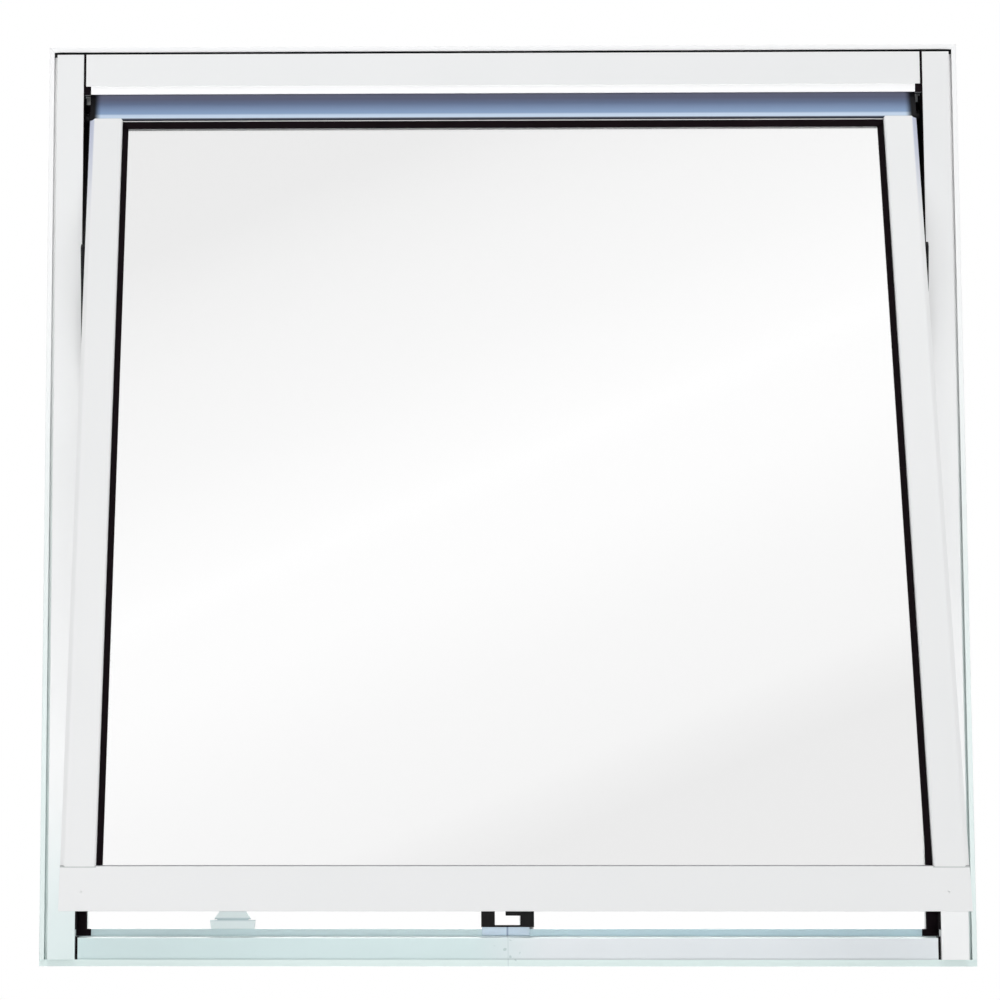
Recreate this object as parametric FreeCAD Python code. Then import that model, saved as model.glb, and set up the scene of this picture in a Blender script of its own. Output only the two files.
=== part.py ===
import FreeCAD, Part
import math
import os

# A top hung awning window in powder coated aluminium, standing open on its two friction stays.
# Lengths are millimetres. X runs along the window, Y from outdoors to indoors, Z up.
# The origin is on the sill fin's back face, the face that lies against the wall.

Vector = FreeCAD.Vector

os.makedirs("parts", exist_ok=True)

# Outer frame
frame_width = 900.0
frame_height = 907.0
frame_wall = 1.6
frame_lift = 4.0
fin_reach = 8.0
fin_slot = 3.2
fin_lip_depth = 3.0
fin_set_back = 12.4
front_box_depth = 13.0
stop_depth = 42.0
stop_box_depth = 10.0
jamb_face = 27.0
jamb_web = 19.5
jamb_stop = 35.0
head_face = 33.0
head_stop = 42.0
head_web_depth = 20.0
sill_nose = 21.0
sill_fall = 1.5
sill_stop = 29.2
sill_set_back = 5.0
sill_fin_reach = 6.5
sill_fin_set_back = 4.0
end_pad = 2.4
pad_foot_length = 1.5
pad_foot_depth = 3.0
pad_block_depth = 2.0
port_bore = 1.9
port_wall = 1.4
port_slot = 2.0

# Drip strip clipped under the head
strip_drop = 8.0
strip_set_back = 0.8
strip_wall = 1.6
strip_foot = 6.0
strip_foot_wall = 1.2
strip_notch = 7.4

# Weather seals on the stop flanges, and the liner on the jambs' inner sides
seal_base = 2.0
seal_lip = 4.0
seal_lip_width = 3.0
seal_lip_stop = 26.0
liner_thickness = 0.8
liner_set_back = 1.0

# Sash
sash_side_gap = 6.5
sash_bottom_gap = 2.8
sash_depth = 33.0
sash_set_back = 3.2
sash_top_gap = 3.2
sash_wall = 1.6
stile_face = 33.0
top_rail_face = 28.5
bottom_rail_face = 43.0
rebate_width = 12.5
rebate_depth = 5.0
edge_bevel = 1.5
bevel_drop = 1.0
outer_bevel = 5.0
outer_drop = 2.0
rail_skirt = 9.5
open_angle = 15.0

# Glass and glazing
glass_thickness = 5.0
glass_edge_gap = 4.0
gasket_thickness = 5.0
gasket_cover = 5.0
gasket_sight = 5.5
gasket_sight_bottom = 2.4
gasket_tip = 1.6
bead_gasket_thickness = 2.5
bead_sight = 0.2
bead_shoulder = 2.5
bead_slope = 4.0
bead_wall = 1.2

# Friction stays
stay_pivot_depth = 20.0
stay_pivot_drop = 16.0
stay_sash_reach = 150.0
stay_arm_length = 250.0
stay_track_width = 16.0
stay_track_wall = 1.5
stay_track_lip = 7.5
stay_track_hook = 2.5
stay_track_overrun = 14.0
stay_bar_width = 13.0
stay_bar_thickness = 2.5
stay_bar_gap = 0.5
stay_tail = 24.0
stay_rivet_radius = 3.0
stay_rivet_head_radius = 4.6
stay_rivet_head = 1.0
stay_hole_gap = 0.15
shoe_length = 36.0
shoe_play = 0.3

# Chain winder
guide_offset = 2.0
guide_width = 52.2
guide_base = 2.0
guide_height = 17.5
guide_post_width = 13.4
guide_arm_length = 14.6
guide_arm_height = 6.3
guide_depth = 8.0
chain_width = 7.0
chain_height = 8.0
chain_pitch = 12.7
chain_plate = 1.2
chain_pin_radius = 1.6
chain_play = 0.6
chain_end_length = 12.0
winder_length = 156.0
winder_height = 27.0
winder_depth = 30.0
winder_wall = 2.5
winder_corner = 8.0
tongue_length = 47.0
tongue_thickness = 1.8
tongue_leg = 6.4
tongue_tail = 6.0
neck_play = 1.2
neck_depth = 20.0
neck_wall = 2.0
spindle_radius = 6.0
spindle_length = 9.0
handle_length = 72.0
handle_width = 13.0
handle_thickness = 6.0
knob_radius = 7.5
knob_length = 20.0
bracket_width = 34.0
bracket_height = 17.0
bracket_thickness = 3.0
bracket_ear = 12.0
bracket_ear_thickness = 2.5
bracket_play = 0.3

# Locking striker on the sill
striker_offset = -270.6
striker_length = 44.8
striker_flare = 0.9
striker_step_length = 36.6
striker_crown_length = 24.8
striker_height = 18.5
striker_step = 9.6
striker_groove = 0.9
striker_groove_depth = 3.0

# Places worked out from the sizes
face_y = -(fin_set_back + frame_wall)
base_z = frame_lift
top_z = base_z + frame_height
half_width = frame_width / 2
stop_y = face_y + stop_depth
frame_depth = stop_depth + stop_box_depth
sash_width = frame_width - 2 * (jamb_face + sash_side_gap)
sash_height = frame_height - head_face - sash_top_gap - sill_nose - sash_bottom_gap
half_sash = sash_width / 2
angle = math.radians(open_angle)
arm_angle = math.asin(stay_sash_reach * math.sin(angle) / stay_arm_length)
slide_drop = (stay_sash_reach * (1 - math.cos(angle))
              + stay_arm_length * (1 - math.cos(arm_angle)))
closed_top_z = top_z - head_face - sash_top_gap
pivot_y = face_y + sash_set_back + stay_pivot_depth
closed_pivot_z = closed_top_z - stay_pivot_drop
pivot_z = closed_pivot_z - slide_drop
anchor_z = closed_pivot_z - stay_sash_reach - stay_arm_length
sash_y = pivot_y - stay_pivot_depth * math.cos(angle) + stay_pivot_drop * math.sin(angle)
sash_z = pivot_z + stay_pivot_depth * math.sin(angle) + stay_pivot_drop * math.cos(angle)


def ring(points):
    return Part.makePolygon(points + points[:1])


def rectangle(a0, b0, a1, b1):
    return [(a0, b0), (a1, b0), (a1, b1), (a0, b1)]


def extrude(outline, chambers, place, start, end):
    """A length of profile: outline and chambers are section points, place(a, b, s) puts them."""
    rings = [ring([place(a, b, start) for a, b in points]) for points in [outline] + chambers]
    face = Part.makeFace(rings, "Part::FaceMakerBullseye")
    return face.extrude(place(0, 0, end) - place(0, 0, start))


def box(x0, y0, z0, x1, y1, z1):
    corner = Vector(min(x0, x1), min(y0, y1), min(z0, z1))
    return Part.makeBox(abs(x1 - x0), abs(y1 - y0), abs(z1 - z0), corner)


def rod(radius, x0, x1, y, z):
    return Part.makeCylinder(radius, abs(x1 - x0), Vector(min(x0, x1), y, z), Vector(1, 0, 0))


def fuse(shapes):
    solid = shapes[0]
    for other in shapes[1:]:
        solid = solid.fuse(other)
    return solid.removeSplitter()


def mirrored(shape):
    return shape.mirror(Vector(0, 0, 0), Vector(1, 0, 0))


def save(name, shape):
    shape.exportStep(os.path.join("parts", name + ".step"))


def save_pair(name, left):
    save(name + "_left", left)
    save(name + "_right", mirrored(left))


def swing(shape):
    """Carries a piece drawn on the upright sash to the open sash."""
    moved = shape.copy()
    turn = FreeCAD.Rotation(Vector(1, 0, 0), -open_angle)
    moved.Placement = FreeCAD.Placement(Vector(0, sash_y, sash_z), turn).multiply(moved.Placement)
    return moved


def on_open_sash(depth, drop):
    """Where a point of the sash, given by its depth behind the face and its drop, stands."""
    return (sash_y + depth * math.cos(angle) - drop * math.sin(angle),
            sash_z - depth * math.sin(angle) - drop * math.cos(angle))


# Section places: a and b are read across the profile, s runs along it
def left_jamb_place(a, b, s):
    return Vector(-half_width + a, face_y + b, s)


def head_place(a, b, s):
    return Vector(s, face_y + b, top_z - a)


def sill_place(a, b, s):
    return Vector(s, face_y + b, base_z + a)


def left_stile_place(a, b, s):
    return Vector(-half_sash + a, b, -s)


def top_rail_place(a, b, s):
    return Vector(s, b, -a)


def bottom_rail_place(a, b, s):
    return Vector(s, b, -sash_height + a)


def wall_fin(place, start, end):
    """The fin along one outer side, with a channel that opens towards the frame, mitred at its ends."""
    wall = frame_wall
    back = fin_set_back + wall
    front = fin_lip_depth
    points = [
        (0, fin_set_back), (wall - fin_reach, fin_set_back), (wall - fin_reach, front + wall),
        (-fin_slot, front + wall), (-fin_slot, front), (-fin_reach, front), (-fin_reach, back), (0, back),
    ]
    strip = extrude(points, [], place, start - fin_reach, end + fin_reach)
    mitre = ring([place(0, 0, start), place(0, 0, end), place(-fin_reach, 0, end + fin_reach),
                  place(-fin_reach, 0, start - fin_reach)])
    return strip.common(Part.Face(mitre).extrude(place(0, back, 0) - place(0, 0, 0)))


def jamb_step(gap):
    """The inner line of the jamb section, moved inwards by gap."""
    return [
        (jamb_face + gap, 0),
        (jamb_face + gap, front_box_depth + gap),
        (jamb_web + gap, front_box_depth + gap),
        (jamb_web + gap, stop_depth - gap),
        (jamb_stop + gap, stop_depth - gap),
        (jamb_stop + gap, frame_depth),
    ]


def jamb():
    wall = frame_wall
    outline = [(0, 0)] + jamb_step(0) + [(0, frame_depth)]
    chambers = [
        rectangle(wall, wall, jamb_face - wall, front_box_depth - wall),
        rectangle(wall, front_box_depth, jamb_web - wall, stop_depth),
        rectangle(wall, stop_depth + wall, jamb_stop - wall, frame_depth - wall),
    ]
    bar = extrude(outline, chambers, left_jamb_place, base_z, top_z)
    fin = wall_fin(left_jamb_place, base_z, top_z)
    corner = box(-half_width - fin_reach, face_y, base_z - fin_reach, -half_width, 0, base_z)
    return fuse([bar, fin.cut(corner)])


def jamb_zone(gap):
    """The room that both jambs take, with gap more on their inner side."""
    outline = [(0, 0)] + jamb_step(gap) + [(0, frame_depth)]
    left = extrude(outline, [], left_jamb_place, base_z, top_z)
    return [left, mirrored(left)]


def between_jambs(member):
    for zone in jamb_zone(end_pad):
        member = member.cut(zone)
    return member


def screw_port(place, a, b, half_length, opens):
    """A slotted bore along a section at (a, b), which takes the corner screws at both ends."""
    start = place(a, b, -half_length)
    axis = Vector(1, 0, 0)
    wall = Part.makeCylinder(port_bore + port_wall, 2 * half_length, start, axis)
    bore = Part.makeCylinder(port_bore, 2 * half_length, start, axis)
    reach = port_bore + port_wall
    slot = extrude(rectangle(a, b - port_slot / 2, a + opens * reach, b + port_slot / 2), [], place,
                   -half_length, half_length)
    return wall.cut(bore).cut(slot)


def sill_fin():
    """The flat fin under the sill, which runs on under the jambs and their fins."""
    wall = frame_wall
    strip = rectangle(-sill_fin_reach, sill_fin_set_back, 0, fin_set_back + wall)
    room = rectangle(wall - sill_fin_reach, sill_fin_set_back + wall, -wall, fin_set_back)
    reach = half_width + fin_reach
    return extrude(strip, [room], sill_place, -reach, reach)


def head():
    wall = frame_wall
    web = head_web_depth
    outline = [(0, 0), (head_face, 0), (head_face, stop_depth), (head_stop, stop_depth),
               (head_stop, frame_depth), (0, frame_depth)]
    chambers = [
        rectangle(wall, wall, head_face - wall, web - wall / 2),
        rectangle(wall, web + wall / 2, head_face - wall, stop_depth),
        rectangle(wall, stop_depth + wall, head_stop - wall, frame_depth - wall),
    ]
    inset = wall + port_bore
    ports = [screw_port(head_place, inset, inset, half_width, 1),
             screw_port(head_place, inset, web + wall / 2 + port_bore, half_width, 1)]
    bar = fuse([extrude(outline, chambers, head_place, -half_width, half_width)] + ports)
    return fuse([between_jambs(bar), wall_fin(head_place, -half_width, half_width)])


def drip_strip():
    """The bright strip that hangs under the head and covers the top of the shut sash."""
    front = strip_set_back
    back = front + strip_wall
    points = [
        (head_face, front), (head_face + strip_drop, front), (head_face + strip_drop, back),
        (head_face + strip_foot_wall, back), (head_face + strip_foot_wall, back + strip_foot),
        (head_face, back + strip_foot),
    ]
    end = half_width - jamb_face - strip_notch
    return extrude(points, [], head_place, -end, end)


def sill():
    wall = frame_wall
    front = sill_set_back
    top = sill_nose + sill_fall
    outline = [(0, front), (sill_nose, front), (top, stop_depth), (sill_stop, stop_depth),
               (sill_stop, frame_depth), (0, frame_depth)]
    chambers = [
        [(wall, front + wall), (sill_nose - wall, front + wall), (top - wall, stop_depth),
         (wall, stop_depth)],
        rectangle(wall, stop_depth + wall, sill_stop - wall, frame_depth - wall),
    ]
    inset = wall + port_bore
    ports = [screw_port(sill_place, inset, front + inset, half_width, 1),
             screw_port(sill_place, inset, stop_depth - inset, half_width, 1)]
    bar = fuse([extrude(outline, chambers, sill_place, -half_width, half_width)] + ports)
    return fuse([between_jambs(bar), sill_fin()])


def pad_sheet(bottom, top):
    """A length of the rubber pad that lines a jamb's inner steps."""
    outline = jamb_step(0) + list(reversed(jamb_step(end_pad)))
    return extrude(outline, [], left_jamb_place, bottom, top)


def head_pad():
    sheet = pad_sheet(top_z - head_stop, top_z)
    below = box(-half_width, face_y, top_z - head_face, half_width, stop_y, top_z - head_stop)
    front = face_y + strip_set_back
    side = -half_width + jamb_face
    lip = top_z - head_face - strip_drop
    block = box(side, front, lip, side + strip_notch, front + pad_block_depth, top_z - head_face)
    return fuse([sheet.cut(below), block])


def sill_pad():
    sheet = pad_sheet(base_z, base_z + sill_stop)
    start = -half_width + jamb_stop + end_pad
    foot = box(start - jamb_stop + jamb_web, stop_y - pad_foot_depth, base_z + sill_nose + sill_fall,
               start + pad_foot_length, stop_y, base_z + sill_stop)
    open_front = box(-half_width, face_y, base_z, 0, face_y + sill_set_back, base_z + sill_stop)
    above = box(-half_width, face_y, base_z + sill_nose + sill_fall, 0,
                stop_y - pad_foot_depth, base_z + sill_stop)
    return fuse([sheet.cut(open_front).cut(above), foot])


def jamb_seal():
    """Flat black strip on the jamb's stop flange, with a lip that the closed sash presses."""
    base = rectangle(jamb_web, stop_depth - seal_base, jamb_stop, stop_depth)
    lip = rectangle(jamb_stop - seal_lip_width, stop_depth - seal_base - seal_lip,
                    jamb_stop, stop_depth - seal_base)
    bottom = base_z + sill_stop
    top = top_z - head_stop
    strip = extrude(base, [], left_jamb_place, bottom, top)
    rib = extrude(lip, [], left_jamb_place, bottom, top - seal_lip_stop)
    liner = rectangle(jamb_face, liner_set_back, jamb_face + liner_thickness, front_box_depth)
    liner_top = top_z - head_face - strip_drop
    return Part.makeCompound([fuse([strip, rib]), extrude(liner, [], left_jamb_place, bottom, liner_top)])


def head_seal():
    base = rectangle(head_face, stop_depth - seal_base, head_stop, stop_depth)
    end = half_width - jamb_stop - end_pad
    return extrude(base, [], head_place, -end, end)


def sash_outline(face, outer):
    """A sash section: outer gives the points of its outer side, from the back to the front."""
    tube = face - rebate_width
    return outer + [(face - edge_bevel, 0), (face, bevel_drop), (face, rebate_depth),
                    (tube, rebate_depth), (tube, sash_depth)]


def sash_chambers(face, corner):
    """The hollows of a sash section: corner gives the points at the outer side of the main one."""
    wall = sash_wall
    tube = face - rebate_width
    lip = [(tube, wall), (face - edge_bevel - wall / 2, wall), (face - wall, bevel_drop + wall / 2),
           (face - wall, rebate_depth - wall), (tube, rebate_depth - wall)]
    return [corner + [(tube - wall, wall), (tube - wall, sash_depth - wall)], lip]


# The outer sides: the stile's is bevelled, the top rail's is square, the bottom rail's has a skirt
stile_outer = [(0, sash_depth), (0, outer_drop), (outer_bevel, 0)]
stile_corner = [(sash_wall, sash_depth - sash_wall), (sash_wall, outer_drop + sash_wall),
                (outer_bevel + sash_wall, sash_wall)]
top_rail_outer = [(0, sash_depth), (0, 0)]
top_rail_corner = [(sash_wall, sash_depth - sash_wall), (sash_wall, sash_wall)]
bottom_rail_outer = [(rail_skirt, sash_depth), (rail_skirt, sash_wall), (0, sash_wall), (0, 0)]
bottom_rail_corner = [(rail_skirt + sash_wall, sash_depth - sash_wall), (rail_skirt + sash_wall, sash_wall)]


def rail(face, outer, corner, place):
    bar = extrude(sash_outline(face, outer), sash_chambers(face, corner), place, -half_sash, half_sash)
    ports = [screw_port(place, corner[0][0] + port_bore, depth, half_sash, 1)
             for depth in (sash_wall + port_bore, sash_depth - sash_wall - port_bore)]
    return fuse([bar] + ports)


def stile():
    start = top_rail_face - rebate_width
    end = sash_height - bottom_rail_face + rebate_width
    bar = extrude(sash_outline(stile_face, stile_outer), sash_chambers(stile_face, stile_corner),
                  left_stile_place, start, end)
    top_rail = extrude(sash_outline(top_rail_face, top_rail_outer), [], top_rail_place,
                       -half_sash, half_sash)
    bottom_rail = extrude(sash_outline(bottom_rail_face, bottom_rail_outer), [], bottom_rail_place,
                          -half_sash, half_sash)
    return bar.cut(top_rail).cut(bottom_rail)


glass_front = rebate_depth + gasket_thickness
bead_front = glass_front + glass_thickness + bead_gasket_thickness


def glass():
    edge = rebate_width - glass_edge_gap
    half = half_sash - stile_face + edge
    top = top_rail_face - edge
    bottom = sash_height - bottom_rail_face + edge
    return box(-half, glass_front, -top, half, glass_front + glass_thickness, -bottom)


def gasket_outline(face, sight):
    return [(face - gasket_cover, rebate_depth), (face, rebate_depth),
            (face + sight, glass_front - gasket_tip), (face + sight, glass_front),
            (face - gasket_cover, glass_front)]


def bead_gasket_outline(face, sight):
    back = glass_front + glass_thickness
    return [(face - gasket_cover, back), (face + sight, back), (face + sight, bead_front),
            (face - gasket_cover, bead_front)]


def bead_outline(face, sight, shrink=0.0):
    tube = face - rebate_width
    top = face + sight
    return [(tube + shrink, bead_front + shrink), (top - shrink, bead_front + shrink),
            (top - shrink, bead_front + bead_shoulder), (top - bead_slope - shrink, sash_depth - shrink),
            (tube + shrink, sash_depth - shrink)]


def bead_chambers(face, sight):
    return [bead_outline(face, sight, bead_wall)]


def no_chambers(face, sight):
    return []


def lining(outline, cover, sight, bottom_sight, hollow=no_chambers):
    """A strip along all four sides of the glass: the upright ones lie between the level ones."""
    width = half_sash - stile_face + cover
    start = top_rail_face + sight
    end = sash_height - bottom_rail_face - bottom_sight

    def strip(face, shown, place, first, last):
        return extrude(outline(face, shown), hollow(face, shown), place, first, last)

    return {
        "top": strip(top_rail_face, sight, top_rail_place, -width, width),
        "bottom": strip(bottom_rail_face, bottom_sight, bottom_rail_place, -width, width),
        "left": strip(stile_face, sight, left_stile_place, start, end),
    }


def save_lining(name, strips):
    save(name + "_top", swing(strips["top"]))
    save(name + "_bottom", swing(strips["bottom"]))
    save_pair(name, swing(strips["left"]))


# The stay's layers, counted from the jamb's web towards the sash
track_x = -half_width + jamb_web
track_front = track_x + stay_track_lip
sash_side = -half_sash
sash_bar_x = sash_side - stay_bar_thickness
arm_x = sash_bar_x - stay_bar_gap - stay_bar_thickness


def stadium(radius, x0, x1, start, end):
    """A flat bar with round ends from one (y, z) point to another."""
    run = math.hypot(end[0] - start[0], end[1] - start[1])
    turn = math.degrees(math.atan2(end[1] - start[1], end[0] - start[0]))
    low = min(x0, x1)
    a = Vector(low, 0, -radius)
    b = Vector(low, run, -radius)
    c = Vector(low, run, radius)
    d = Vector(low, 0, radius)
    edges = [
        Part.LineSegment(a, b).toShape(),
        Part.Arc(b, Vector(low, run + radius, 0), c).toShape(),
        Part.LineSegment(c, d).toShape(),
        Part.Arc(d, Vector(low, -radius, 0), a).toShape(),
    ]
    bar = Part.Face(Part.Wire(edges)).extrude(Vector(abs(x1 - x0), 0, 0))
    bar.rotate(Vector(0, 0, 0), Vector(1, 0, 0), turn)
    bar.translate(Vector(0, start[0], start[1]))
    return bar


slide_point = (pivot_y, pivot_z)
anchor_point = (pivot_y, anchor_z)
sash_pin_point = (pivot_y - stay_sash_reach * math.sin(angle), pivot_z - stay_sash_reach * math.cos(angle))


def stay_track():
    half = stay_track_width / 2
    wall = stay_track_wall
    hook = stay_track_hook
    points = [
        (track_x, -half), (track_front, -half), (track_front, -half + hook),
        (track_front - wall / 2, -half + hook), (track_front - wall / 2, -half + wall / 2),
        (track_x + wall, -half + wall / 2), (track_x + wall, half - wall / 2),
        (track_front - wall / 2, half - wall / 2), (track_front - wall / 2, half - hook),
        (track_front, half - hook), (track_front, half), (track_x, half),
    ]
    bottom = anchor_z - stay_track_overrun
    top = closed_pivot_z + stay_track_overrun

    def place(a, b, s):
        return Vector(a, pivot_y + b, s)

    return extrude(points, [], place, bottom, top)


def stay_shoe():
    half = stay_track_width / 2 - stay_track_wall / 2 - shoe_play
    x0 = track_x + stay_track_wall
    x1 = track_front - stay_track_wall / 2 - shoe_play
    block = box(x0, pivot_y - half, pivot_z - shoe_length / 2, x1, pivot_y + half, pivot_z + shoe_length / 2)
    hole = rod(stay_rivet_radius + stay_hole_gap, x0, x1, pivot_y, pivot_z)
    return block.cut(hole)


def drilled(bar, x0, x1, points):
    for y, z in points:
        bar = bar.cut(rod(stay_rivet_radius + stay_hole_gap, x0, x1, y, z))
    return bar


def stay_arm():
    x1 = arm_x + stay_bar_thickness
    bar = stadium(stay_bar_width / 2, arm_x, x1, anchor_point, sash_pin_point)
    return drilled(bar, arm_x, x1, [anchor_point, sash_pin_point])


def stay_sash_bar():
    tail = stay_sash_reach + stay_tail
    end = (pivot_y - tail * math.sin(angle), pivot_z - tail * math.cos(angle))
    bar = stadium(stay_bar_width / 2, sash_bar_x, sash_side, slide_point, end)
    return drilled(bar, sash_bar_x, sash_side, [slide_point, sash_pin_point])


def rivet(x0, x1, point, collar=None):
    """A pin from x0 to x1, with a collar that keeps two layers apart."""
    y, z = point
    parts = [rod(stay_rivet_radius, x0, x1, y, z)]
    if collar:
        parts.append(rod(stay_rivet_head_radius, collar[0], collar[1], y, z))
    return fuse(parts)


def stay_rivets():
    x1 = arm_x + stay_bar_thickness
    anchor = fuse([
        rivet(track_x + stay_track_wall, x1, anchor_point, (track_x + stay_track_wall, arm_x)),
        rod(stay_rivet_head_radius, x1, x1 + stay_rivet_head, *anchor_point),
    ])
    slide = rivet(track_x + stay_track_wall, sash_side, slide_point,
                  (track_front - stay_track_wall / 2 - shoe_play, sash_bar_x))
    sash_pin = rivet(arm_x, sash_side, sash_pin_point, (x1, sash_bar_x))
    return Part.makeCompound([anchor, slide, sash_pin])


# The chain leaves the winder's neck, passes over the guide's right post and ends at the sash bracket
sill_top_z = base_z + sill_stop
guide_y0 = stop_y
winder_y0 = face_y + frame_depth
chain_offset = guide_offset + (guide_width - guide_post_width) / 2
guide_z = sill_top_z + tongue_thickness
chain_lift = tongue_thickness + guide_height + chain_play + chain_height / 2
bracket_drop = sash_height - (rail_skirt + bottom_rail_face - rebate_width) / 2
chain_start = (winder_y0 + neck_depth / 2, sill_top_z + chain_lift)
chain_end = on_open_sash(sash_depth + bracket_thickness + bracket_ear / 2, bracket_drop)


def chain_guide():
    x0 = guide_offset - guide_width / 2
    x1 = guide_offset + guide_width / 2
    top = guide_z + guide_height
    y1 = guide_y0 + guide_depth
    base = box(x0, guide_y0, guide_z, x1, y1, guide_z + guide_base)
    left = box(x0, guide_y0, guide_z, x0 + guide_post_width, y1, top)
    right = box(x1 - guide_post_width, guide_y0, guide_z, x1, y1, top)
    arm = box(x1 - guide_post_width - guide_arm_length, guide_y0, top - guide_arm_height, x1, y1, top)
    return fuse([base, left, right, arm])


def link(width, bottom, top, start, end):
    """A level plate with round ends between two (y, z) points; bottom and top are read across it."""
    run = math.hypot(end[0] - start[0], end[1] - start[1])
    radius = width / 2
    edges = [
        Part.LineSegment(Vector(-radius, 0, bottom), Vector(-radius, run, bottom)).toShape(),
        Part.Arc(Vector(-radius, run, bottom), Vector(0, run + radius, bottom),
                 Vector(radius, run, bottom)).toShape(),
        Part.LineSegment(Vector(radius, run, bottom), Vector(radius, 0, bottom)).toShape(),
        Part.Arc(Vector(radius, 0, bottom), Vector(0, -radius, bottom), Vector(-radius, 0, bottom)).toShape(),
    ]
    plate = Part.Face(Part.Wire(edges)).extrude(Vector(0, 0, top - bottom))
    return on_chain(plate, start)


def on_chain(shape, start):
    """Carries a piece drawn level at the origin to a point of the chain, along the chain's slope."""
    slope = math.degrees(math.atan2(chain_start[1] - chain_end[1], chain_start[0] - chain_end[0]))
    shape.rotate(Vector(0, 0, 0), Vector(1, 0, 0), slope)
    shape.translate(Vector(chain_offset, start[0], start[1]))
    return shape


def chain():
    """Links with upright pins from the neck to an end block on the bracket's level pin."""
    run = math.hypot(chain_start[0] - chain_end[0], chain_start[1] - chain_end[1])
    step = ((chain_start[0] - chain_end[0]) / run, (chain_start[1] - chain_end[1]) / run)
    half = chain_height / 2
    links = int(run // chain_pitch)
    block = Part.makeBox(chain_width, chain_end_length, chain_height,
                         Vector(-chain_width / 2, -chain_height / 2, -half))
    gap = chain_width / 2 + bracket_play + bracket_ear_thickness
    parts = [on_chain(block, chain_end), rod(chain_pin_radius, chain_offset - gap, chain_offset + gap,
                                             *chain_end)]
    for number in range(links + 1):
        along = chain_end_length - chain_height / 2 - chain_width / 2 + number * chain_pitch
        start = (chain_end[0] + along * step[0], chain_end[1] + along * step[1])
        pin = Part.makeCylinder(chain_pin_radius, chain_height, Vector(0, 0, -half))
        parts.append(on_chain(pin, start))
        if number == links:
            break
        inset = chain_plate * (number % 2)
        end = (start[0] + chain_pitch * step[0], start[1] + chain_pitch * step[1])
        parts.append(link(chain_width, -half + inset, -half + inset + chain_plate, start, end))
        parts.append(link(chain_width, half - inset - chain_plate, half - inset, start, end))
    return fuse(parts)


def chain_bracket():
    """Plate on the back of the bottom rail with two ears that hold the chain's end block."""
    half = bracket_width / 2
    plate = box(chain_offset - half, sash_depth, -bracket_drop - bracket_height / 2,
                chain_offset + half, sash_depth + bracket_thickness, -bracket_drop + bracket_height / 2)
    parts = [plate]
    gap = chain_width / 2 + bracket_play
    for side in (-1, 1):
        x0 = chain_offset + side * gap
        parts.append(box(x0, sash_depth + bracket_thickness, -bracket_drop - bracket_ear / 2,
                         x0 + side * bracket_ear_thickness, sash_depth + bracket_thickness + bracket_ear,
                         -bracket_drop + bracket_ear / 2))
    hole = rod(chain_pin_radius, chain_offset - half, chain_offset + half,
               sash_depth + bracket_thickness + bracket_ear / 2, -bracket_drop)
    return fuse(parts).cut(hole)


winder_top = sill_top_z
edge_match = 0.01


def indoor_corners(block, y):
    """The upright edges of a block at its indoor corners, which lie at y."""
    return [edge for edge in block.Edges
            if edge.BoundBox.XLength < edge_match and edge.BoundBox.YLength < edge_match
            and abs(edge.BoundBox.YMax - y) < edge_match]


def winder_neck(grow):
    """The block round the chain behind the guide, or with no growth the room inside it."""
    room = chain_width / 2 + neck_play
    rise = chain_lift + chain_height / 2 + neck_play
    return box(chain_offset - room - grow, winder_y0, winder_top - winder_wall,
               chain_offset + room + grow, winder_y0 + neck_depth + grow, winder_top + rise + grow)


def tongue():
    """The casing's thin plate that runs out over the sill's stop and down its front, under the guide."""
    half = tongue_length / 2
    front = stop_y - tongue_thickness
    top = box(-half, front, winder_top, half, winder_y0 + tongue_tail, winder_top + tongue_thickness)
    leg = box(-half, front, winder_top - tongue_leg, half, stop_y, winder_top)
    return fuse([top, leg])


def winder_body():
    half = winder_length / 2
    wall = winder_wall
    z0 = winder_top - winder_height
    y1 = winder_y0 + winder_depth
    casing = box(-half, winder_y0, z0, half, y1, winder_top)
    casing = casing.makeFillet(winder_corner, indoor_corners(casing, y1))
    room = box(-half + wall, winder_y0, z0 + wall, half - wall, y1 - wall, winder_top - wall)
    room = room.makeFillet(winder_corner - wall, indoor_corners(room, y1 - wall))
    return fuse([casing, winder_neck(neck_wall), tongue()]).cut(room).cut(winder_neck(0))


def winder_handle():
    """Folding crank on the casing's indoor face, turned to hang to the left."""
    y0 = winder_y0 + winder_depth
    z = winder_top - winder_height / 2
    spindle = Part.makeCylinder(spindle_radius, spindle_length, Vector(0, y0, z), Vector(0, 1, 0))
    y1 = y0 + spindle_length
    low = Vector(0, y1, z - handle_width / 2)
    radius = handle_width / 2
    edges = [
        Part.LineSegment(low, Vector(-handle_length, y1, z - radius)).toShape(),
        Part.Arc(Vector(-handle_length, y1, z - radius), Vector(-handle_length - radius, y1, z),
                 Vector(-handle_length, y1, z + radius)).toShape(),
        Part.LineSegment(Vector(-handle_length, y1, z + radius), Vector(0, y1, z + radius)).toShape(),
        Part.Arc(Vector(0, y1, z + radius), Vector(radius, y1, z), low).toShape(),
    ]
    arm = Part.Face(Part.Wire(edges)).extrude(Vector(0, handle_thickness, 0))
    knob = Part.makeCylinder(knob_radius, knob_length, Vector(-handle_length, y1 + handle_thickness, z),
                             Vector(0, 1, 0))
    return fuse([spindle, arm, knob])


def striker():
    """Striker block on the sill's stop: a flared foot, a groove and a step that narrows upwards."""
    half = striker_length / 2
    step = striker_step_length / 2
    crown = striker_crown_length / 2
    neck = step - striker_groove_depth
    low = sill_top_z
    mid = low + striker_step
    top = low + striker_height
    right = [
        (half - striker_flare, low), (half, mid - striker_groove), (neck, mid - striker_groove),
        (neck, mid), (step, mid), (crown, top),
    ]
    left = [(-a, b) for a, b in reversed(right)]

    def place(a, b, s):
        return Vector(striker_offset + a, stop_y + s, b)

    return extrude(right + left, [], place, 0, stop_box_depth)


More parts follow.
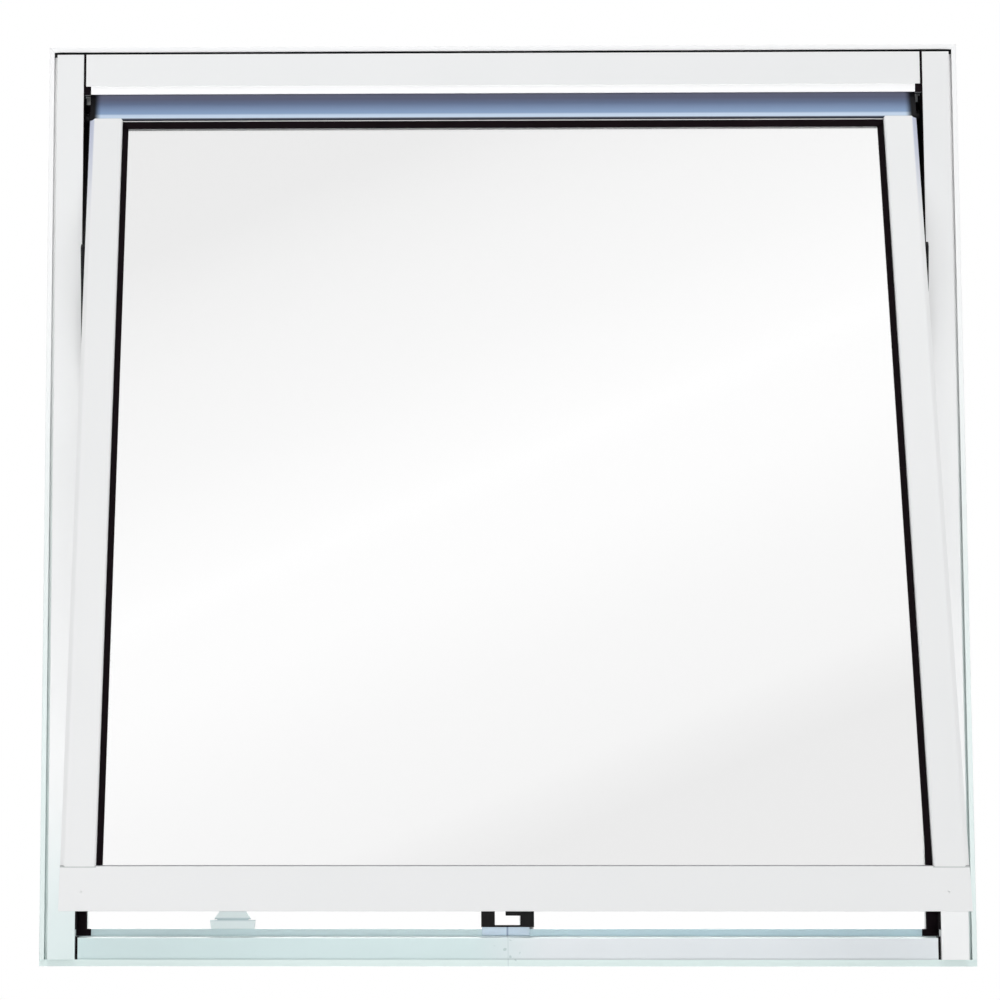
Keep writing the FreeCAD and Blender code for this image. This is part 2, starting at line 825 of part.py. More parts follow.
save("frame_head", head())
save("head_drip_strip", drip_strip())
save("frame_sill", sill())
save_pair("frame_jamb", jamb())
save_pair("head_pad", head_pad())
save_pair("sill_pad", sill_pad())
save("seal_head", head_seal())
save_pair("seal_jamb", jamb_seal())
save("sash_top_rail", swing(rail(top_rail_face, top_rail_outer, top_rail_corner, top_rail_place)))
save("sash_bottom_rail", swing(rail(bottom_rail_face, bottom_rail_outer, bottom_rail_corner,
                                    bottom_rail_place)))
save_pair("sash_stile", swing(stile()))
save("glass_pane", swing(glass()))
save_lining("glazing_gasket", lining(gasket_outline, gasket_cover, gasket_sight,
                                      gasket_sight_bottom))
save_lining("bead_gasket", lining(bead_gasket_outline, gasket_cover, bead_sight, bead_sight))
save_lining("glazing_bead", lining(bead_outline, rebate_width, bead_sight, bead_sight, bead_chambers))
save_pair("stay_track", stay_track())
save_pair("stay_shoe", stay_shoe())
save_pair("stay_arm", stay_arm())
save_pair("stay_sash_bar", stay_sash_bar())
save_pair("stay_rivets", stay_rivets())
save("chain_guide", chain_guide())
save("winder_chain", chain())
save("chain_bracket", swing(chain_bracket()))
save("winder_body", winder_body())
save("winder_handle", winder_handle())
save("striker_block", striker())
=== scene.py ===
import bmesh
import bpy
import math
from mathutils import Matrix, Vector


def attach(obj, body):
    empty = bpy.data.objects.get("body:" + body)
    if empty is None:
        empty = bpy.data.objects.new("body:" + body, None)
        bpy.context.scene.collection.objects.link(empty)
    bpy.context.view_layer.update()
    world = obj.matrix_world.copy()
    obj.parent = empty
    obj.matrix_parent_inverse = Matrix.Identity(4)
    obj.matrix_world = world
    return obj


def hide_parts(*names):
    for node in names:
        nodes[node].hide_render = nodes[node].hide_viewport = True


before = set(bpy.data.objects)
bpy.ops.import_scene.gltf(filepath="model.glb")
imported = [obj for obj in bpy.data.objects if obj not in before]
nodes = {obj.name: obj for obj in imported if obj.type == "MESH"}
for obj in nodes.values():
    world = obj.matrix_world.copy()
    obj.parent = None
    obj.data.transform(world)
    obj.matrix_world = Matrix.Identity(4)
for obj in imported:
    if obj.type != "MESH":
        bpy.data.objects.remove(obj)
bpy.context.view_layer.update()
print("frame loaded:", len(nodes), "pieces")

mm = 0.001


def linear(hexColour):
    # sRGB hex to the linear values that sockets take
    values = []
    for start in (1, 3, 5):
        c = int(hexColour[start:start + 2], 16) / 255
        values.append(c / 12.92 if c <= 0.04045 else ((c + 0.055) / 1.055) ** 2.4)
    return (*values, 1.0)


def addNode(tree, kind, settings=None, inputs=None, links=None, stops=None):
    # one node with its settings, socket values, incoming links and, on a ramp, its colour stops
    node = tree.nodes.new(kind)
    for name, value in (settings or {}).items():
        setattr(node, name, value)
    for name, value in (inputs or {}).items():
        node.inputs[name].default_value = value
    for name, source in (links or {}).items():
        tree.links.new(source, node.inputs[name])
    for number, (position, colour) in enumerate(stops or ()):
        elements = node.color_ramp.elements
        element = elements[number] if number < 2 else elements.new(position)
        element.position = position
        element.color = colour
    return node


def newMaterial(name):
    material = bpy.data.materials.new(name)
    material.use_nodes = True
    tree = material.node_tree
    tree.nodes.clear()
    return material, tree


def blend(tree, fac, first, second):
    # mixes two colours by a factor; any of the three may be a value or a socket
    mix = addNode(tree, "ShaderNodeMix", {"data_type": "RGBA"})
    for name, value in ((0, fac), (6, first), (7, second)):
        if isinstance(value, bpy.types.NodeSocket):
            tree.links.new(value, mix.inputs[name])
        else:
            mix.inputs[name].default_value = value
    return mix.outputs[2]


def band(tree, source, start, end):
    # 0 before start and 1 past end, eased between them
    settings = {"interpolation_type": "SMOOTHSTEP"}
    return addNode(tree, "ShaderNodeMapRange", settings, {"From Min": start, "From Max": end},
                   {"Value": source}).outputs["Result"]


def away(tree, source):
    # distance from the window's middle plane
    return addNode(tree, "ShaderNodeMath", {"operation": "ABSOLUTE"}, None, {0: source}).outputs[0]


coatLook = {"white": "#F4F4F4", "shade": "#F0F1F1", "roughness": 0.36, "grainMm": 1.6, "bump": 0.04, "specular": 0.3}


def coat(name, look, tint=None):
    # Polyester powder coat on aluminium: an even satin colour whose fine orange peel only breaks up the highlights.
    # The peel is about 0.4 mm across in the real coat, and drawn at 1.6 mm so that it shows.
    material, tree = newMaterial(name)
    place = addNode(tree, "ShaderNodeTexCoord").outputs["Object"]
    cloud = addNode(tree, "ShaderNodeTexNoise", None, {"Scale": 9.0, "Detail": 2.0}, {"Vector": place})
    peel = addNode(tree, "ShaderNodeTexNoise", None, {"Scale": 1000 / look["grainMm"], "Detail": 1.0}, {"Vector": place})
    colour = blend(tree, cloud.outputs["Fac"], linear(look["white"]), linear(look["shade"]))
    if tint:
        colour = tint(tree, place, colour)
    gloss = addNode(tree, "ShaderNodeMapRange", None,
                    {"To Min": look["roughness"] - 0.04, "To Max": look["roughness"] + 0.05}, {"Value": cloud.outputs["Fac"]})
    bump = addNode(tree, "ShaderNodeBump", None, {"Strength": look["bump"], "Distance": 0.0002}, {"Height": peel.outputs["Fac"]})
    shader = addNode(tree, "ShaderNodeBsdfPrincipled", None, {"Specular IOR Level": look["specular"]},
                     {"Base Color": colour, "Roughness": gloss.outputs["Result"], "Normal": bump.outputs["Normal"]})
    addNode(tree, "ShaderNodeOutputMaterial", None, None, {"Surface": shader.outputs["BSDF"]})
    return material


# painted light on the jambs and head: a cool blue-green painted shade low on the left, the wall fins painted grey-green
# near the sill and white towards the top, and a dark painted shadow in the channel over the head
finTint = {"cool": "#DFECEB", "warmZ": 0.20, "leftX": 0.45, "side": 0.4502, "top": 0.9112, "low": "#E2EEEC", "high": "#FFFFFF",
           "lowZ": 0.10, "highZ": 0.80, "shade": "#2E2E30", "shadeFront": -9.0 * mm, "shadeBack": -0.8 * mm, "shadeTop": 0.9182}


def both(tree, first, second):
    return addNode(tree, "ShaderNodeMath", {"operation": "MULTIPLY"}, None, {0: first, 1: second}).outputs[0]


# painted light: cool painted shade low on the left, fins graded grey-green to white, dark painted shadow in the head's
# channel
def jambPaintedLight(tree, place, colour):
    axes = addNode(tree, "ShaderNodeSeparateXYZ", None, None, {"Vector": place}).outputs
    low = band(tree, axes["Z"], finTint["warmZ"], 0.0)
    cast = both(tree, low, band(tree, axes["X"], finTint["leftX"], -finTint["leftX"]))
    colour = blend(tree, cast, colour, linear(finTint["cool"]))
    height = band(tree, axes["Z"], finTint["lowZ"], finTint["highZ"])
    fin = blend(tree, height, linear(finTint["low"]), linear(finTint["high"]))
    colour = blend(tree, band(tree, away(tree, axes["X"]), finTint["side"], finTint["side"] + 0.3 * mm), colour, fin)
    over = band(tree, axes["Z"], finTint["top"], finTint["top"] + 0.2 * mm)
    colour = blend(tree, over, colour, fin)
    within = both(tree, band(tree, axes["Y"], finTint["shadeFront"] - 0.2 * mm, finTint["shadeFront"]),
                  band(tree, axes["Y"], finTint["shadeBack"] + 0.2 * mm, finTint["shadeBack"]))
    within = both(tree, within, both(tree, over, band(tree, axes["Z"], finTint["shadeTop"], finTint["shadeTop"] - 0.2 * mm)))
    return blend(tree, within, colour, linear(finTint["shade"]))


sillTint = {"frontY": 0.0288, "backY": 0.0296, "left": "#CDE0E0", "right": "#DFE4E7", "ledgeZ": 0.0248, "ledge": "#E4F2F2",
            "stepZ": 0.0266, "stepLeft": "#C6DBDE", "stepRight": "#BFDAE3", "middleX": 0.001, "spread": 0.05, "fin": "#DCECE9", "finZ": 0.0038,
            "seam": "#C3D3D4", "seamHalf": 0.0006, "spotMm": 7.0, "spots": "#B9CBCB"}


def sillPaintedLightAndMarks(tree, place, colour):
    # outdoors: a cool blue-green painted shade, stronger on the left half, a painted light along the sloped ledge,
    # painted shade on the upstand's step and on the fin below; and a hairline seam and a few faint marks at the middle
    plain = colour
    axes = addNode(tree, "ShaderNodeSeparateXYZ", None, None, {"Vector": place}).outputs
    side = band(tree, axes["X"], sillTint["middleX"] - sillTint["spread"], sillTint["middleX"] + sillTint["spread"])
    colour = blend(tree, side, linear(sillTint["left"]), linear(sillTint["right"]))
    colour = blend(tree, band(tree, axes["Z"], sillTint["ledgeZ"] - 0.2 * mm, sillTint["ledgeZ"]), colour, linear(sillTint["ledge"]))
    step = blend(tree, side, linear(sillTint["stepLeft"]), linear(sillTint["stepRight"]))
    colour = blend(tree, band(tree, axes["Z"], sillTint["stepZ"] - 0.2 * mm, sillTint["stepZ"]), colour, step)
    colour = blend(tree, band(tree, axes["Z"], sillTint["finZ"] + 0.3 * mm, sillTint["finZ"]), colour, linear(sillTint["fin"]))
    centred = addNode(tree, "ShaderNodeMath", {"operation": "SUBTRACT"}, {1: sillTint["middleX"]}, {0: axes["X"]}).outputs[0]
    near = away(tree, centred)
    noise = addNode(tree, "ShaderNodeTexNoise", None, {"Scale": 1000 / sillTint["spotMm"], "Detail": 1.0}, {"Vector": place})
    spots = band(tree, noise.outputs["Fac"], 0.66, 0.72)
    around = band(tree, near, 0.022, 0.004)
    marked = addNode(tree, "ShaderNodeMath", {"operation": "MULTIPLY"}, None, {0: spots, 1: around}).outputs[0]
    colour = blend(tree, marked, colour, linear(sillTint["spots"]))
    colour = blend(tree, band(tree, near, sillTint["seamHalf"], 0.0), colour, linear(sillTint["seam"]))
    return blend(tree, band(tree, axes["Y"], sillTint["frontY"], sillTint["backY"]), colour, plain)


# painted shade and painted reflection on the sash head's front face: slate at its top edge where the frame's shade
# falls, bluer lower down like a mirrored darker sky, a painted highlight as a pale line at the bead, dark just below
# it, and painted shadow darkening both ends to near black
railTint = {"inward": (0.0, 0.965926, -0.258819), "frontAt": -0.23128, "frontDepth": 0.003, "topZ": 0.8713, "lowZ": 0.8432, "endStart": 0.4050, "endStop": 0.4125, "end": "#0C0B0F",
            "stops": ((0.0, "#747689"), (0.20, "#6B718A"), (0.40, "#7485A6"), (0.76, "#8CA5C7"), (0.82, "#C8DAEE"),
                      (0.92, "#CCDCEF"), (0.95, "#555C69"), (1.0, "#1F1F25"))}


# painted shade, reflection and highlight graded down the front face, painted shadow at both ends
def railPaintedLight(tree, place, colour):
    axes = addNode(tree, "ShaderNodeSeparateXYZ", None, None, {"Vector": place}).outputs
    down = addNode(tree, "ShaderNodeMapRange", None, {"From Min": railTint["topZ"], "From Max": railTint["lowZ"]},
                   {"Value": axes["Z"]}).outputs["Result"]
    stops = [(position, linear(shade)) for position, shade in railTint["stops"]]
    shade = addNode(tree, "ShaderNodeValToRGB", None, None, {"Fac": down}, stops).outputs["Color"]
    end = band(tree, away(tree, axes["X"]), railTint["endStart"], railTint["endStop"])
    shade = blend(tree, end, shade, linear(railTint["end"]))
    depth = addNode(tree, "ShaderNodeVectorMath", {"operation": "DOT_PRODUCT"}, {1: railTint["inward"]}, {0: place}).outputs["Value"]
    back = railTint["frontAt"] + railTint["frontDepth"]
    return blend(tree, band(tree, depth, back, back + 0.5 * mm), shade, colour)


stileTint = {"edge": "#CBD0E2", "edgeX": 0.4130, "clearX": 0.4112, "highZ": 0.84, "lowZ": 0.72}


def stilePaintedShade(tree, place, colour):
    # painted shade: near the head the stiles' bevelled outer edge is painted sky-blue grey where the jambs' shade falls
    # on it
    axes = addNode(tree, "ShaderNodeSeparateXYZ", None, None, {"Vector": place}).outputs
    edge = both(tree, band(tree, away(tree, axes["X"]), stileTint["clearX"], stileTint["edgeX"]),
                band(tree, axes["Z"], stileTint["lowZ"], stileTint["highZ"]))
    return blend(tree, edge, colour, linear(stileTint["edge"]))


footTint = {"line": "#87868B", "startZ": 0.0936, "endZ": 0.0939,
            "joint": "#C0C4C3", "jointX": 0.3835, "jointStartZ": 0.0922, "jointEndZ": 0.0928}


def linedFoot(tree, place, colour):
    # the shadow line along the bottom rail's upper edge, and the softer one where the stiles stand on it
    axes = addNode(tree, "ShaderNodeSeparateXYZ", None, None, {"Vector": place}).outputs
    side = band(tree, away(tree, axes["X"]), footTint["jointX"] - 1.0 * mm, footTint["jointX"])
    joint = both(tree, side, band(tree, axes["Z"], footTint["jointStartZ"], footTint["jointEndZ"]))
    colour = blend(tree, joint, colour, linear(footTint["joint"]))
    return blend(tree, band(tree, axes["Z"], footTint["startZ"], footTint["endZ"]), colour, linear(footTint["line"]))


castTint = {"cool": "#D0E2F2", "frontY": 0.034, "backY": 0.038, "seam": "#8EA5C4", "seamX": 0.0016, "seamHalf": 0.0016}


def winderPaintedShadeAndSeam(tree, place, colour):
    # painted shade: the winder's plate outdoors of the wall takes the sill's cool blue painted shade, and the sill's
    # seam line runs on across it
    axes = addNode(tree, "ShaderNodeSeparateXYZ", None, None, {"Vector": place}).outputs
    outdoors = both(tree, band(tree, axes["Y"], castTint["backY"], castTint["frontY"]), band(tree, axes["Y"], -0.1, 0.0))
    colour = blend(tree, outdoors, colour, linear(castTint["cool"]))
    centred = addNode(tree, "ShaderNodeMath", {"operation": "SUBTRACT"}, {1: castTint["seamX"]}, {0: axes["X"]}).outputs[0]
    seam = both(tree, outdoors, band(tree, away(tree, centred), castTint["seamHalf"], 0.0))
    return blend(tree, seam, colour, linear(castTint["seam"]))


rubberLook = {"black": "#0D080B", "dusty": "#190F14", "roughness": 0.8, "ribMm": 0.7, "bump": 0.12, "specular": 0.06}
# the bottom glazing gasket is painted mid grey to give the painted shadow line along the glass's foot
lowGasketShadowLook = {"black": "#A4A6A9", "dusty": "#B4B6B8", "roughness": 0.6, "ribMm": 0.7, "bump": 0.08, "specular": 0.2}


def rubber(name, look):
    # Extruded EPDM: matt, with faint lengthwise drag marks and a little dust, and nearly no highlight.
    # The drag marks are drawn at 0.7 mm, some three times their real size.
    material, tree = newMaterial(name)
    place = addNode(tree, "ShaderNodeTexCoord").outputs["Object"]
    dust = addNode(tree, "ShaderNodeTexNoise", None, {"Scale": 60.0, "Detail": 4.0}, {"Vector": place})
    drag = addNode(tree, "ShaderNodeTexNoise", None, {"Scale": 1000 / look["ribMm"], "Detail": 1.0}, {"Vector": place})
    colour = blend(tree, dust.outputs["Fac"], linear(look["black"]), linear(look["dusty"]))
    bump = addNode(tree, "ShaderNodeBump", None, {"Strength": look["bump"], "Distance": 0.0002}, {"Height": drag.outputs["Fac"]})
    shader = addNode(tree, "ShaderNodeBsdfPrincipled", None,
                     {"Roughness": look["roughness"], "Specular IOR Level": look["specular"]},
                     {"Base Color": colour, "Normal": bump.outputs["Normal"]})
    addNode(tree, "ShaderNodeOutputMaterial", None, None, {"Surface": shader.outputs["BSDF"]})
    return material


glassLook = {"tint": "#F0F0F0", "ior": 1.52, "waveMm": 180, "bump": 0.02}


def floatGlass(name, look):
    # Clear toughened float glass: nearly no colour, and roller waves so long that they only bend reflections
    material, tree = newMaterial(name)
    place = addNode(tree, "ShaderNodeTexCoord").outputs["Object"]
    wave = addNode(tree, "ShaderNodeTexNoise", None, {"Scale": 1000 / look["waveMm"], "Detail": 0.0}, {"Vector": place})
    bump = addNode(tree, "ShaderNodeBump", None, {"Strength": look["bump"], "Distance": 0.001}, {"Height": wave.outputs["Fac"]})
    shader = addNode(tree, "ShaderNodeBsdfPrincipled", None,
                     {"Base Color": linear(look["tint"]), "Roughness": 0.0, "IOR": look["ior"], "Transmission Weight": 1.0},
                     {"Normal": bump.outputs["Normal"]})
    addNode(tree, "ShaderNodeOutputMaterial", None, None, {"Surface": shader.outputs["BSDF"]})
    return material


stayLook = {"black": "#0B0A0C", "worn": "#161518", "roughness": 0.42, "grainMm": 0.9, "bump": 0.08, "metal": 0.0, "specular": 0.12}
chainLook = {"black": "#C9C8C4", "worn": "#A9A8A5", "roughness": 0.28, "grainMm": 0.5, "bump": 0.05, "metal": 1.0, "specular": 0.5}
screwLook = {"black": "#BFC0C0", "worn": "#9C9DA0", "roughness": 0.3, "grainMm": 0.6, "bump": 0.04, "metal": 1.0, "specular": 0.5}


def strip(name, look):
    # Stamped stainless, bare or under a thin black coat: fine rolling marks, a little lighter or darker where it has rubbed.
    # The marks are drawn at 0.5 to 0.9 mm, coarser than the real ones.
    material, tree = newMaterial(name)
    place = addNode(tree, "ShaderNodeTexCoord").outputs["Object"]
    worn = addNode(tree, "ShaderNodeTexNoise", None, {"Scale": 35.0, "Detail": 5.0}, {"Vector": place})
    grain = addNode(tree, "ShaderNodeTexNoise", None, {"Scale": 1000 / look["grainMm"]}, {"Vector": place})
    colour = blend(tree, worn.outputs["Fac"], linear(look["black"]), linear(look["worn"]))
    gloss = addNode(tree, "ShaderNodeMapRange", None, {"To Min": look["roughness"] - 0.06, "To Max": look["roughness"] + 0.1},
                    {"Value": grain.outputs["Fac"]})
    bump = addNode(tree, "ShaderNodeBump", None, {"Strength": look["bump"], "Distance": 0.0002}, {"Height": grain.outputs["Fac"]})
    shader = addNode(tree, "ShaderNodeBsdfPrincipled", None, {"Metallic": look["metal"], "Specular IOR Level": look["specular"]},
                     {"Base Color": colour, "Roughness": gloss.outputs["Result"], "Normal": bump.outputs["Normal"]})
    addNode(tree, "ShaderNodeOutputMaterial", None, None, {"Surface": shader.outputs["BSDF"]})
    return material


# the white nylon's faint blue-green tint is painted shade, the cool cast of the shade on the sill under the sash
mouldedLook = {"black": "#0C0A0D", "white": "#F3FEFE", "bright": "#FFFFFF", "roughness": 0.48, "grainMm": 0.8, "bump": 0.1,
               "mottle": 0.04, "paintedGlow": 0.09, "specular": {"black": 0.12, "white": 0.4, "bright": 0.4}}


blockTint = {"groove": "#B4C8CC", "grooveZ": 0.0426, "fade": 0.0024}


def groovedBlock(tree, place, colour):
    # the striker's groove lies in its own shade
    height = addNode(tree, "ShaderNodeSeparateXYZ", None, None, {"Vector": place}).outputs["Z"]
    centred = addNode(tree, "ShaderNodeMath", {"operation": "SUBTRACT"}, {1: blockTint["grooveZ"]}, {0: height}).outputs[0]
    return blend(tree, band(tree, away(tree, centred), blockTint["fade"], 0.0), colour, linear(blockTint["groove"]))


def moulded(name, look, shade, tint=None):
    # Moulded nylon or extruded PVC: even colour, a fine spark eroded texture and a soft, low sheen
    material, tree = newMaterial(name)
    place = addNode(tree, "ShaderNodeTexCoord").outputs["Object"]
    grain = addNode(tree, "ShaderNodeTexNoise", None, {"Scale": 1000 / look["grainMm"], "Detail": 2.0}, {"Vector": place})
    mottle = addNode(tree, "ShaderNodeTexNoise", None, {"Scale": 40.0, "Detail": 3.0}, {"Vector": place})
    base = linear(look[shade])
    duller = tuple(c * (1 - look["mottle"]) for c in base[:3]) + (1.0,)
    colour = blend(tree, mottle.outputs["Fac"], base, duller)
    if tint:
        colour = tint(tree, place, colour)
    gloss = addNode(tree, "ShaderNodeMapRange", None, {"To Min": look["roughness"] - 0.05, "To Max": look["roughness"] + 0.08},
                    {"Value": grain.outputs["Fac"]})
    bump = addNode(tree, "ShaderNodeBump", None, {"Strength": look["bump"], "Distance": 0.0002}, {"Height": grain.outputs["Fac"]})
    shader = addNode(tree, "ShaderNodeBsdfPrincipled", None, {"Specular IOR Level": look["specular"][shade]},
                     {"Base Color": colour, "Roughness": gloss.outputs["Result"], "Normal": bump.outputs["Normal"]})
    if shade == "bright":
        # painted light: the drip strip glows faintly in its own colour so that it reads pure white, though it is no
        # lamp
        shader.inputs["Emission Color"].default_value = base
        shader.inputs["Emission Strength"].default_value = look["paintedGlow"]
    addNode(tree, "ShaderNodeOutputMaterial", None, None, {"Surface": shader.outputs["BSDF"]})
    return material


whiteCoat = coat("powder-coated aluminium", coatLook)
jambCoat = coat("powder-coated jamb", coatLook, jambPaintedLight)
sillCoat = coat("powder-coated sill", coatLook, sillPaintedLightAndMarks)
railCoat = coat("powder-coated sash head", {**coatLook, "specular": 0.12}, railPaintedLight)
stileCoat = coat("powder-coated stile", coatLook, stilePaintedShade)
footCoat = coat("powder-coated bottom rail", coatLook, linedFoot)
winderCoat = coat("powder-coated die casting", {**coatLook, "roughness": 0.42, "grainMm": 1.2, "bump": 0.06}, winderPaintedShadeAndSeam)
epdm = rubber("EPDM rubber", rubberLook)
shadowLineRubber = rubber("EPDM rubber painted grey as shadow", lowGasketShadowLook)
paneGlass = floatGlass("toughened float glass", glassLook)
blackSteel = strip("black-coated stainless strip", stayLook)
chainSteel = strip("stamped stainless steel", chainLook)
screwSteel = strip("stainless screw steel", screwLook)
blackNylon = moulded("black moulded nylon", mouldedLook, "black")
whiteNylon = moulded("white moulded nylon", mouldedLook, "white", groovedBlock)
whiteVinyl = moulded("white extruded PVC", mouldedLook, "bright")
print("finishes made")


edgeLook = {"extrusion": 0.35, "steel": 0.25, "moulding": 0.5, "joint": 0.6, "sharpDegrees": 25}

# node name start: its finish, the record's slot, and which easing its edges get
finishes = {
    "frame_jamb": (jambCoat, "powder_coated_aluminium", "extrusion"),
    "frame_sill": (sillCoat, "powder_coated_aluminium", "extrusion"),
    "frame_head": (jambCoat, "powder_coated_aluminium", "extrusion"),
    "head_drip_strip": (whiteVinyl, "white_pvc", "steel"),
    "sash_top_rail": (railCoat, "powder_coated_aluminium", "extrusion"),
    "sash_bottom_rail": (footCoat, "powder_coated_aluminium", "joint"),
    "sash_stile": (stileCoat, "powder_coated_aluminium", "joint"),
    "glazing_bead": (whiteCoat, "powder_coated_aluminium", "extrusion"),
    "stay_track": (blackSteel, "black_stay_steel", "steel"),
    "stay_arm": (blackSteel, "black_stay_steel", "steel"),
    "stay_sash_bar": (blackSteel, "black_stay_steel", "steel"),
    "chain_guide": (blackNylon, "black_nylon", "steel"),
    "chain_bracket": (winderCoat, "winder_white", "steel"),
    "winder_body": (winderCoat, "winder_white", "moulding"),
    "winder_handle": (winderCoat, "winder_white", "moulding"),
    "striker_block": (whiteNylon, "white_nylon", "steel"),
}
# the jambs' black seals also line the reveals in rubber: partly real seal, partly a dark sheet standing in for the
# reveals' shade
plainFinishes = {
    "seal_": epdm, "head_pad": epdm, "sill_pad": epdm, "glazing_gasket_bottom": shadowLineRubber, "glazing_gasket": epdm,
    "bead_gasket": epdm, "glass_pane": paneGlass, "stay_shoe": blackNylon, "stay_rivets": blackSteel,
    "winder_chain": chainSteel,
}


def setFinish(piece, material):
    piece.data.materials.clear()
    piece.data.materials.append(material)


def eased(node, material, width):
    # a copy of the node with its loose triangles joined and its sharp edges eased as the die and the coat leave them
    mesh = bmesh.new()
    mesh.from_mesh(nodes[node].data)
    bmesh.ops.remove_doubles(mesh, verts=mesh.verts, dist=2e-6)
    bmesh.ops.dissolve_limit(mesh, angle_limit=math.radians(0.6), verts=mesh.verts, edges=mesh.edges)
    sharp = [edge for edge in mesh.edges
             if len(edge.link_faces) == 2 and edge.calc_face_angle(0) > math.radians(edgeLook["sharpDegrees"])]
    bmesh.ops.bevel(mesh, geom=sharp, offset=width * mm, segments=2, profile=0.5, affect="EDGES", clamp_overlap=True)
    data = bpy.data.meshes.new(node + "_eased")
    mesh.to_mesh(data)
    mesh.free()
    piece = bpy.data.objects.new(node + "_eased", data)
    bpy.context.scene.collection.objects.link(piece)
    for face in data.polygons:
        face.use_smooth = True
    setFinish(piece, material)
    weighted = piece.modifiers.new("flat faces stay flat", "WEIGHTED_NORMAL")
    weighted.keep_sharp = False
    weighted.weight = 100
    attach(piece, "root")
    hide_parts(node)
    return piece


for node in sorted(nodes):
    done = False
    for start, (material, slotName, edge) in finishes.items():
        if node.startswith(start):
            setFinish(nodes[node], material)
            eased(node, material, edgeLook[edge])
            done = True
            break
    if not done:
        for start, material in plainFinishes.items():
            if node.startswith(start):
                setFinish(nodes[node], material)
                done = True
                break
    if not done:
        raise SystemExit("no finish for " + node)
print("pieces finished:", len(nodes))


# the open sash's own frame, in mm: drop runs down it from its top edge, depth runs in from its front
sash = {"y": -5.9774, "z": 871.287, "open": 15.0}


def onSash(x, drop, depth):
    turn = math.radians(sash["open"])
    return Vector((x, sash["y"] - drop * math.sin(turn) + depth * math.cos(turn),
                   sash["z"] - drop * math.cos(turn) - depth * math.sin(turn))) * mm


turned = math.radians(sash["open"])
sashFront = Vector((0, -math.cos(turned), math.sin(turned)))
sashBack = -sashFront


def headTree():
    # Geometry Nodes: a cross recessed screw head, or a plain rivet head, on every point, turned to its "facing"
    tree = bpy.data.node_groups.new("fastener heads", "GeometryNodeTree")
    sockets = {"Geometry": "NodeSocketGeometry", "Head radius": "NodeSocketFloat", "Head height": "NodeSocketFloat",
               "Recess width": "NodeSocketFloat", "Recess depth": "NodeSocketFloat", "Finish": "NodeSocketMaterial"}
    for name, kind in sockets.items():
        tree.interface.new_socket(name=name, in_out="INPUT", socket_type=kind)
    tree.interface.new_socket(name="Geometry", in_out="OUTPUT", socket_type="NodeSocketGeometry")
    given = addNode(tree, "NodeGroupInput").outputs
    dome = addNode(tree, "GeometryNodeMeshUVSphere", None, {"Segments": 20, "Rings": 12}, {"Radius": given["Head radius"]})
    flatness = addNode(tree, "ShaderNodeMath", {"operation": "DIVIDE"}, None, {0: given["Head height"], 1: given["Head radius"]})
    squash = addNode(tree, "ShaderNodeCombineXYZ", None, {"X": 1.0, "Y": 1.0}, {"Z": flatness.outputs[0]})
    low = addNode(tree, "GeometryNodeTransform", None, None, {"Geometry": dome.outputs["Mesh"], "Scale": squash.outputs[0]})
    double = addNode(tree, "ShaderNodeMath", {"operation": "MULTIPLY"}, {1: 1.1}, {0: given["Head radius"]})
    slotLong = addNode(tree, "ShaderNodeCombineXYZ", None, None,
                       {"X": double.outputs[0], "Y": given["Recess width"], "Z": given["Recess depth"]})
    slotWide = addNode(tree, "ShaderNodeCombineXYZ", None, None,
                       {"X": given["Recess width"], "Y": double.outputs[0], "Z": given["Recess depth"]})
    top = addNode(tree, "ShaderNodeCombineXYZ", None, None, {"Z": given["Head height"]})
    cutters = []
    for size in (slotLong, slotWide):
        cube = addNode(tree, "GeometryNodeMeshCube", None, None, {"Size": size.outputs[0]})
        cutters.append(addNode(tree, "GeometryNodeTransform", None, None,
                               {"Geometry": cube.outputs["Mesh"], "Translation": top.outputs[0]}))
    cross = addNode(tree, "GeometryNodeMeshBoolean", {"operation": "UNION"}, None, {"Mesh 2": cutters[0].outputs["Geometry"]})
    tree.links.new(cutters[1].outputs["Geometry"], cross.inputs["Mesh 2"])
    head = addNode(tree, "GeometryNodeMeshBoolean", {"operation": "DIFFERENCE"}, None,
                   {"Mesh 1": low.outputs["Geometry"], "Mesh 2": cross.outputs["Mesh"]})
    facing = addNode(tree, "GeometryNodeInputNamedAttribute", {"data_type": "FLOAT_VECTOR"}, {"Name": "facing"})
    turn = addNode(tree, "FunctionNodeAlignRotationToVector", {"axis": "Z"}, None, {"Vector": facing.outputs["Attribute"]})
    placed = addNode(tree, "GeometryNodeInstanceOnPoints", None, None,
                     {"Points": given["Geometry"], "Instance": head.outputs["Mesh"], "Rotation": turn.outputs["Rotation"]})
    real = addNode(tree, "GeometryNodeRealizeInstances", None, None, {"Geometry": placed.outputs["Instances"]})
    finish = addNode(tree, "GeometryNodeSetMaterial", None, None,
                     {"Geometry": real.outputs["Geometry"], "Material": given["Finish"]})
    addNode(tree, "NodeGroupOutput", None, None, {"Geometry": finish.outputs["Geometry"]})
    return tree


headNodes = headTree()


